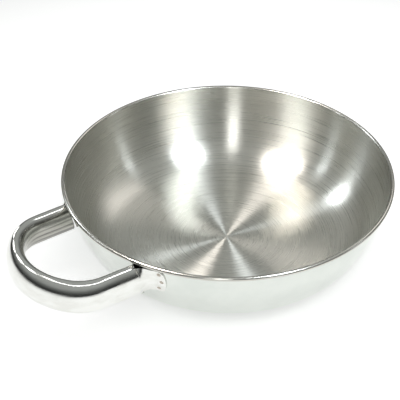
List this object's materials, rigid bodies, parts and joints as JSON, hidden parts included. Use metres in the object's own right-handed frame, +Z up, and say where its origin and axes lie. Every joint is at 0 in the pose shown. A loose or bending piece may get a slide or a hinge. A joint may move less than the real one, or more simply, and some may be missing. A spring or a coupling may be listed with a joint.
{
  "type": "steel pan",
  "caption": "Round stainless steel pan with a deep open bowl, a rolled rim and a loop handle of oval tube, spot-welded to the wall just under the rim.",
  "frame": {"origin": "centre of the flat base, on the surface that the pan stands on", "axes": "+Z up along the bowl's axis; the handle points along -X, and the pan is mirror-symmetric about the XZ plane"},
  "size_m": [0.3093, 0.25, 0.062],
  "materials": {
    "bowl_steel": "satin, brushed in rings inside; mirror polished outside",
    "handle_steel": "mirror polished",
    "weld_steel": "dull, with a slight heat tint"
  },
  "bodies": {
    "root": {"bowl": "bowl_steel", "handle": "handle_steel", "right_leg_welds": "weld_steel", "left_leg_welds": "weld_steel"}
  },
  "joints": []
}
